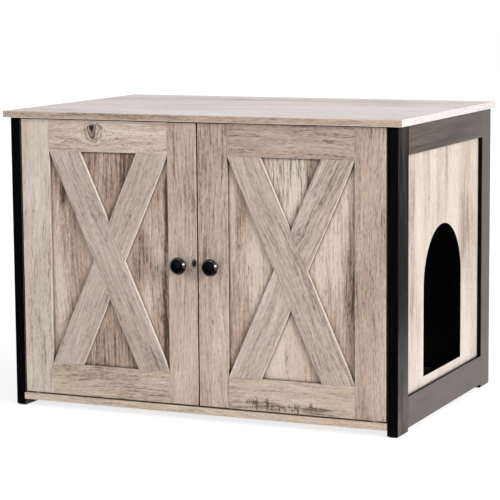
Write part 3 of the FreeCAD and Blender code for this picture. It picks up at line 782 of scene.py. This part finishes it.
# %% Node group and finish: black woodgrain
DEEP_BLACK = (0.0012, 0.0012, 0.0015, 1)
FRONT_WORN = (0.0025, 0.0025, 0.003, 1)
# Painted light on the side faces: paler grain, darkest on the front posts and paler on the back
# posts and rails, which also get a brown deep tone; the front posts get a darker patch higher up
# and a paler one near the floor.
POST_SIDE_PAINTED_SHEEN = tint(62, 55, 51)
RAIL_SIDE_PAINTED_SHEEN = tint(102, 91, 83)
RAIL_DEEP_PAINTED_LIGHT = tint(58, 51, 46)
post_painted_light_patches = [((0, -0.25, 0.25), 0.26, 0.3, tint(24, 21, 20)),
                ((0, -0.25, 0.0), 0.25, 0.3, tint(104, 94, 87))]
black_sway = 0.03


@node_group("black woodgrain", Vector=NOWHERE, Deep=DEEP_BLACK, Worn=FRONT_WORN, Clouds=0.2)
def black_grain(tree, start, deep, worn, clouds):
    flow = shifted_across(tree, start, centred(tree, noise(tree, start, (2, 6, 6), 2), black_sway))
    cloudy = centred(tree, noise(tree, start, (5, 24, 24), 3), 1.0)
    streaks = noise(tree, flow, (9, 260, 260), 5, 0.7)
    fibres = noise(tree, flow, (45, 800, 800), 2)
    grain = times(tree, fibres, 0.35, times(tree, streaks, 0.8))
    grain = math_node(tree, "ADD", grain, times(tree, cloudy, clouds, 0.1))
    return {"Color": mixed(tree, ramp(tree, grain, 0.5, 0.86), deep, worn),
            "Roughness": ramp(tree, grain, 0.5, 0.85, 0.30, 0.48), "Height": grain}


def black_foil(name, turn, worn, gloss, edge_wear_and_highlight=0.07, clouds=0.2, deep=DEEP_BLACK, patches=()):
    """Black foil for one piece of the side frames, with the tone and gloss of its paler grain,
    which on the side faces is painted light; how far its edges get a pale line, wear and painted
    highlight; and how uneven its tone is. A patch has a place, its reach along and across the
    grain, and its own tone for the paler grain, painted light as well."""
    material, tree, shader, pattern, laid_out = new_board(name, turn, Specular_IOR_Level=gloss)
    for place, along, across, tone in patches:
        made = use_group(tree, soft_patch, Vector=pattern, Centre=laid_out(place),
                         Reach=(along, 1, across))
        worn = mixed(tree, made["Mask"], worn, tone)
    foil = use_group(tree, black_grain, Vector=pattern, Deep=deep, Worn=worn, Clouds=clouds)
    edged = use_group(tree, edge_wear_and_painted_light, Color=foil["Color"], Width=0.0016, Amount=edge_wear_and_highlight)
    feed_named(tree, shader, Base_Color=edged["Color"], Roughness=foil["Roughness"])
    relief(tree, shader, foil["Height"], 0.6, 0.0004)
    return material


def dress_frame(name, turn, worn, gloss, clouds, deep, patches=()):
    """Painted light on the sides of a frame piece, deep black to the front, the back and above."""
    dress(name, black_foil("foil_" + name, turn, worn, gloss, 0.3, clouds, deep, patches))
    dress_faces(name, black_foil("foil_front_" + name, turn, FRONT_WORN, 0.03),
                lambda face: abs(face.normal.y) > 0.6 or face.normal.z > 0.6)


for side in SIDES:
    dress_frame(f"{side}_front_post", SIDE_LAY, POST_SIDE_PAINTED_SHEEN, 0.06, 0.9, DEEP_BLACK, post_painted_light_patches)
    dress_frame(f"{side}_back_post", SIDE_LAY, RAIL_SIDE_PAINTED_SHEEN, 0.3, 0.3, RAIL_DEEP_PAINTED_LIGHT)
    for piece in ("top_rail", "bottom_rail"):
        dress_frame(f"{side}_{piece}", SIDE_RAIL_LAY, RAIL_SIDE_PAINTED_SHEEN, 0.25, 0.3, RAIL_DEEP_PAINTED_LIGHT)
dress("back_board", black_foil("foil_back_board", STILE_LAY, FRONT_WORN, 0.3))
print("frame pieces dressed")

# %% [markdown]
# ## The arch's edge band
# The sawn edge of the arched doorway is covered with a black band. The panel is one solid, so only
# the faces of that edge change material: they look neither left nor right, and they lie inside the
# panel's outline.

# %% Black band in the arch
edge_clearance = 0.002
panel_low, panel_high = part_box("right_side_panel")


def in_arch_edge(face):
    """True for a face of the side panel that lines the arched doorway."""
    inside = all(panel_low[axis] + edge_clearance < face.center[axis]
                 < panel_high[axis] - edge_clearance for axis in (1, 2))
    return inside and abs(face.normal.x) < 0.5


arch_band = black_foil("arch_edge_band", SIDE_LAY, DEEP_BLACK, 0.03, 0.0)
print("edge band faces:", dress_faces("right_side_panel", arch_band, in_arch_edge))

# %% [markdown]
# ## Turning a piece
# Knobs and screws are turned shapes: a disc grows along its axis, and each step gives it a new
# radius. This helper starts with a flat disc, then pushes its face on and scales it, step by step.
# Because every step keeps the same number of sides, the result is made of clean bands.

# %% Turned pieces
def alone(piece):
    """Select one object and nothing else."""
    bpy.ops.object.select_all(action="DESELECT")
    piece.select_set(True)
    bpy.context.view_layer.objects.active = piece


@contextmanager
def editing(piece, selection="SELECT"):
    """Edit one piece by itself. All its mesh starts selected, or none, or as it was."""
    alone(piece)
    bpy.ops.object.mode_set(mode="EDIT")
    if selection:
        bpy.ops.mesh.select_all(action=selection)
    yield
    bpy.ops.object.mode_set(mode="OBJECT")


def push_on(rise, scale, height):
    """Extrude the selected face upward and scale it at its new height."""
    bpy.ops.mesh.extrude_region_move(TRANSFORM_OT_translate={"value": (0, 0, rise)})
    bpy.ops.transform.resize(value=(scale, scale, 1), center_override=(0, 0, height))


def face_outward():
    """Turn every face of the piece in hand to the outside."""
    bpy.ops.mesh.select_all(action="SELECT")
    bpy.ops.mesh.normals_make_consistent(inside=False)


def turned(profile, sides):
    """Closed solid about Z, from its base upward; the profile lists (radius, height) pairs."""
    radius, height = profile[0]
    bpy.ops.mesh.primitive_circle_add(vertices=sides, radius=radius, fill_type="NGON",
                                      location=(0, 0, height))
    bpy.ops.object.transform_apply(location=True)
    piece = bpy.context.object
    with editing(piece):
        for next_radius, next_height in profile[1:]:
            push_on(next_height - height, next_radius / radius, next_height)
            radius, height = next_radius, next_height
        face_outward()
    bpy.ops.object.shade_smooth()
    return piece


def arc(centre, radii, start, end, steps):
    """Points of an ellipse's arc as (radius, height) pairs; angles in degrees from the axis."""
    return [(centre[0] + radii[0] * math.sin(math.radians(angle)),
             centre[1] + radii[1] * math.cos(math.radians(angle)))
            for angle in (start + (end - start) * step / steps for step in range(steps + 1))]


print("turning ready")

# %% [markdown]
# ## The knobs
# Each knob is turned from one piece: a foot that sits on the stile, a slim neck, the underside
# that swells to a rim, and a shallow dome. The rim is rounded, so it catches a crescent of light.
# The solid model gives the knob's box, and the profile is drawn inside it.

# %% Knobs
knob_low, knob_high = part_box("right_knob")
knob_sides = 64
knob_radius = 0.0158
knob_reach = knob_high.y - knob_low.y
foot_radius, foot_height = 0.008, 0.0015
foot_ease, foot_ease_height = 0.0004, 0.0003
foot_fillet, neck_fillet = 0.0022, 0.003
neck_radius, neck_top = 0.0055, 0.010
neck_end = neck_top - 0.0025
rim_radius = 0.0040
rim_height = knob_reach * 0.68
rim_middle = knob_radius - rim_radius
hollow_radius, hollow_height = rim_middle - 0.0012, rim_height - rim_radius - 0.0004
dome_radius = knob_radius - rim_radius * 0.7
dome_height = knob_reach - rim_height - rim_radius

knob_profile = (
    [(foot_radius - foot_ease, 0.0), (foot_radius, foot_ease_height),
     (foot_radius, foot_height - foot_ease), (foot_radius - foot_ease, foot_height)]
    + arc((neck_radius + foot_fillet, foot_height + foot_fillet), (-foot_fillet, -foot_fillet),
          12, 90, 5)
    + [(neck_radius, neck_end)]
    + arc((neck_radius + neck_fillet, neck_end), (-neck_fillet, neck_fillet), 90, 20, 5)
    + [(hollow_radius, hollow_height)]
    + arc((rim_middle, rim_height), (rim_radius, rim_radius), 165, 25, 10)
    + arc((0, rim_height + rim_radius), (dome_radius, dome_height), 78, 4, 12))


def gloss_black():
    """Black lacquer: a clear coat over black, with the faint ripple of a sprayed skin."""
    material, tree, shader = new_finish("knob_lacquer", Specular_IOR_Level=0.3, Coat_Weight=0.9,
                                        Coat_Roughness=0.05)
    here = node(tree, "TexCoord")["Object"]
    ripple = noise(tree, here, (500, 500, 500), 2)
    wear = noise(tree, here, (140, 140, 140), 3)
    black = mixed(tree, wear, (0.0012, 0.0012, 0.0014, 1), (0.003, 0.003, 0.0035, 1))
    feed_named(tree, shader, Base_Color=black, Roughness=ramp(tree, wear, 0.3, 0.7, 0.16, 0.26))
    relief(tree, shader, ripple, 0.04, 0.0002)
    return material


knob_lacquer = gloss_black()
for side in SIDES:
    low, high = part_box(f"{side}_knob")
    foot = ((low.x + high.x) / 2, high.y, (low.z + high.z) / 2)
    knob_piece = turned(knob_profile, knob_sides)
    knob_piece.name = knob_piece.data.name = f"{side}_turned_knob"
    knob_piece.data.transform(Matrix.Translation(foot) @ Matrix.Rotation(math.pi / 2, 4, "X"))
    knob_piece.data.materials.append(knob_lacquer)
    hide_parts(f"{side}_knob")
    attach(knob_piece, f"{side}_door")
    print(knob_piece.name, "faces:", len(knob_piece.data.polygons))

# %% [markdown]
# ## Finishes of the fittings
# The fittings are zinc-plated steel, white nylon, black plastic, felt and beech. Plating is bright
# but uneven, so its roughness wanders; moulded plastic has a fine spark-eroded skin; felt is fuzz,
# so it is rough with a sheen at its edges; and a beech dowel has flutes pressed along it.

# %% Finishes of the fittings
def fitting_finish(name, dark, light, grain, roughness, bump, **surface):
    """Finish whose colour and roughness wander between two values on a noise."""
    material, tree, shader = new_finish(name, **surface)
    here = node(tree, "TexCoord")["Object"]
    wander = noise(tree, here, (grain, grain, grain), 4, 0.6)
    feed_named(tree, shader, Base_Color=mixed(tree, ramp(tree, wander, 0.3, 0.7), dark, light),
               Roughness=ramp(tree, wander, 0.3, 0.7, *roughness))
    relief(tree, shader, noise(tree, here, (grain * 6, grain * 6, grain * 6), 3), *bump)
    return material


zinc = fitting_finish("zinc_plated_steel", tint(170, 171, 168), tint(200, 201, 197), 220,
                      (0.28, 0.38), (0.12, 0.0001), Metallic=1.0)
nickel = fitting_finish("magnet_nickel", tint(120, 120, 122), tint(160, 160, 160), 300,
                        (0.3, 0.5), (0.15, 0.0001), Metallic=1.0)
nylon = fitting_finish("white_nylon", tint(218, 216, 208), tint(232, 230, 224), 300, (0.4, 0.5),
                       (0.1, 0.0001), Subsurface_Weight=0.1)
plastic = fitting_finish("black_plastic", (0.006, 0.006, 0.007, 1), (0.014, 0.014, 0.015, 1), 700,
                         (0.42, 0.58), (0.3, 0.0001))
felt = fitting_finish("black_felt", (0.006, 0.006, 0.006, 1), (0.03, 0.03, 0.03, 1), 900,
                      (0.9, 1.0), (0.8, 0.0003), Sheen_Weight=0.5)
beech = fitting_finish("beech_dowel", tint(196, 160, 122), tint(222, 190, 152), 500, (0.5, 0.7),
                       (0.6, 0.0003))

for name, material in (("foot_pads", felt), ("pivot_washers", nylon), ("cam_bolts", zinc),
                       ("rail_dowels", beech), ("panel_dowels", beech), ("board_dowels", beech)):
    dress(name, material)
for side in SIDES:
    for level in ("bottom", "top"):
        for leaf in ("frame_leaf", "door_leaf"):
            dress(f"{side}_{level}_{leaf}", zinc)
print("fittings dressed")

# %% [markdown]
# ## Where the fittings sit
# Identical fittings share one node of the solid model, so their places are read from it: a
# throwaway copy is merged and taken apart into its loose pieces. A screw lies along its longest
# side, and its head is at the end where the piece is widest.

# %% Finding and copying fittings
merging_distance = 0.00001
end_thickness = 0.0002


def merged_copy(name):
    """Copy of a solid node with its loose triangles joined and its flat faces made whole."""
    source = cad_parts[name]
    copy = source.copy()
    copy.data = source.data.copy()
    bpy.context.scene.collection.objects.link(copy)
    with editing(copy):
        bpy.ops.mesh.remove_doubles(threshold=merging_distance)
        bpy.ops.mesh.dissolve_limited(angle_limit=math.radians(1))
    return copy


def solids_of(name):
    """Corner points of each separate solid in a node."""
    with editing(merged_copy(name)):
        bpy.ops.mesh.separate(type="LOOSE")
    parts = list(bpy.context.selected_objects)
    points = [[vertex.co.copy() for vertex in part.data.vertices] for part in parts]
    for part in parts:
        bpy.data.objects.remove(part)
    return points


def box_of(points):
    """Low corner, high corner and middle of the box round some points."""
    low, high = (Vector([end(point[axis] for point in points) for axis in range(3)])
                 for end in (min, max))
    return low, high, (low + high) / 2


def seat_of(points):
    """Middle of the head end of a screw, and the direction out of that end."""
    low, high, head = box_of(points)
    size = high - low
    lone = max(range(3), key=lambda axis: abs(size[axis] - sorted(size)[1]))
    middle = head.copy()

    def width_at(end):
        return max((point - middle).length for point in points
                   if abs(point[lone] - end) < end_thickness)

    out = Vector((0, 0, 0))
    out[lone] = 1 if width_at(high[lone]) > width_at(low[lone]) else -1
    head[lone] = high[lone] if out[lone] > 0 else low[lone]
    return head, out


def set_out(model, name, group, body, seat=seat_of):
    """Copy a model, head up at the origin, to the seat of each solid in a node, and let the
    copies replace the node."""
    copies = []
    for number, (place, out) in enumerate(seat(points) for points in solids_of(group)):
        copy = model.copy()
        copy.data = model.data.copy()
        bpy.context.scene.collection.objects.link(copy)
        turn = Vector((0, 0, 1)).rotation_difference(out).to_matrix().to_4x4()
        copy.data.transform(Matrix.Translation(place) @ turn)
        copy.name = f"{name}_{number}"
        copies.append(copy)
    alone(copies[0])
    for copy in copies:
        copy.select_set(True)
    if len(copies) > 1:
        bpy.ops.object.join()
    joined = bpy.context.object
    joined.name = joined.data.name = name
    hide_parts(group)
    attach(joined, body)


print("fittings can be found")

# %% [markdown]
# ## Screws and cams
# A screw is turned from its point to its head, with a thread of small ridges. The cross in its
# head starts as one more ring of sixteen corners: pulled in between four arms and pushed down, it
# becomes the recess that a screwdriver fits. The cams that lock the boards get the same cross,
# only wider.

# %% Screws and cams
cross_corners = 16
cross_shape = (1.0, 0.66, 0.34, 0.66)
cross_taper = 0.5
thread_pitch = 0.0011
tiny = 1e-6


def cross_headed(profile, cross_radius, cross_depth):
    """Turned piece with its head up and a tapering cross pushed into its top face."""
    top = profile[-1][1]
    piece = turned(profile + [(cross_radius, top)], cross_corners)
    for vertex in piece.data.vertices:
        reach = math.hypot(vertex.co.x, vertex.co.y)
        if abs(vertex.co.z - top) < tiny and reach < cross_radius * 1.01:
            corner = round(math.atan2(vertex.co.y, vertex.co.x) / (2 * math.pi / cross_corners))
            vertex.co.xy *= cross_shape[corner % len(cross_shape)]
    with editing(piece, "DESELECT"):
        pass
    for face in piece.data.polygons:
        face.select = len(face.vertices) == cross_corners and face.center.z > top - tiny
    with editing(piece, None):
        push_on(-cross_depth, cross_taper, top - cross_depth)
        face_outward()
    bpy.ops.object.shade_smooth_by_angle(angle=math.radians(35))
    piece.data.materials.append(zinc)
    return piece


def threaded(radius, start, end):
    """Profile of a thread from its point to its neck."""
    steps = max(1, round((end - start) / thread_pitch))
    rings = []
    for step in range(steps):
        height = start + (end - start) * step / steps
        rings += [(radius * 0.74, height), (radius, height + thread_pitch / 2)]
    return rings


def screw_model(head_radius, head_height, radius, length, raised):
    """Wood screw with the top of its head at the origin: domed if raised, else countersunk."""
    under = -head_height
    profile = [(radius * 0.12, -length)] + threaded(radius, radius * 1.6 - length, under)
    profile.append((radius, under))
    if raised:
        dome = arc((0, under + head_height * 0.35), (head_radius, head_height * 0.65), 90, 40, 4)
        flat_radius = dome[-1][0] * 0.72
        profile += [(head_radius, under), *dome, (flat_radius, 0.0)]
        cross_radius = flat_radius * 0.8
    else:
        profile += [(head_radius, -0.00025), (head_radius, 0.0)]
        cross_radius = head_radius * 0.58
    return cross_headed(profile, cross_radius, head_height * 0.6)


leaf_screw = screw_model(0.0034, 0.002, 0.0016, 0.009, False)
strike_screw = screw_model(0.0026, 0.0012, 0.0014, 0.010, False)
knob_screw = screw_model(0.0040, 0.0024, 0.0020, 0.0284, True)
catch_screw = screw_model(0.0030, 0.0018, 0.0016, 0.0118, True)
set_out(leaf_screw, "cross_screws_frame_leaves", "frame_leaf_screws", "carcass")
for side in SIDES:
    for model, label, group in ((leaf_screw, "door_leaves", f"{side}_door_leaf_screws"),
                                (strike_screw, "strike", f"{side}_strike_screw"),
                                (knob_screw, "knob", f"{side}_knob_screw")):
        set_out(model, f"cross_screws_{side}_{label}", group, f"{side}_door")
set_out(catch_screw, "cross_screws_catch", "catch_screws", "carcass")

cam_radius, cam_depth, cam_ease = 0.006, 0.0095, 0.0004
cam_model = cross_headed([(cam_radius - cam_ease, -cam_depth), (cam_radius, cam_ease - cam_depth),
                          (cam_radius, -0.0005), (cam_radius - cam_ease, 0.0),
                          (cam_radius - 0.0012, 0.0), (cam_radius - 0.0015, -cam_ease)],
                         cam_radius - 0.0022, 0.002)


def cam_seat(points):
    """Cams at the top face the inside of the cabinet, and those below face down."""
    low, high, middle = box_of(points)
    if high.z - low.z > cam_depth + 0.001:
        inward = -1 if middle.x > 0 else 1
        return Vector((high.x if inward > 0 else low.x, *middle.yz)), Vector((inward, 0, 0))
    return Vector((*middle.xy, low.z)), Vector((0, 0, -1))


set_out(cam_model, "cross_cams", "cam_locks", "carcass", cam_seat)
for model in (leaf_screw, strike_screw, knob_screw, catch_screw, cam_model):
    bpy.data.objects.remove(model)
print("screws and cams set out")

# %% [markdown]
# ## Catch, strikes and pins
# Pressed and moulded pieces have no knife-sharp edges. Each of these is a merged copy of its solid
# with its edges bevelled, which keeps every hole and pocket in place.

# %% Eased fittings
def eased_copy(name, new_name, width, material, body):
    """Copy of a solid with bevelled edges that replaces it."""
    copy = merged_copy(name)
    copy.name = copy.data.name = new_name
    bevel = copy.modifiers.new("eased edges", "BEVEL")
    bevel.width = width
    bevel.segments = 3
    bevel.limit_method = "ANGLE"
    bevel.angle_limit = math.radians(50)
    bpy.ops.object.modifier_apply(modifier=bevel.name)
    bpy.ops.object.shade_smooth_by_angle(angle=math.radians(40))
    steady = copy.modifiers.new("steady flats", "WEIGHTED_NORMAL")
    steady.keep_sharp = True
    bpy.ops.object.modifier_apply(modifier=steady.name)
    copy.data.materials.clear()
    copy.data.materials.append(material)
    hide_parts(name)
    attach(copy, body)
    return copy


eased = [eased_copy("catch_case", "moulded_catch", 0.0006, plastic, "carcass"),
         eased_copy("catch_magnets", "ground_magnets", 0.0004, nickel, "carcass"),
         eased_copy("pivot_pins", "ground_pins", 0.0003, zinc, "carcass")]
for side in SIDES:
    eased.append(eased_copy(f"{side}_strike_plate", f"{side}_pressed_strike", 0.0003, zinc,
                            f"{side}_door"))
print("pieces eased:", len(eased))
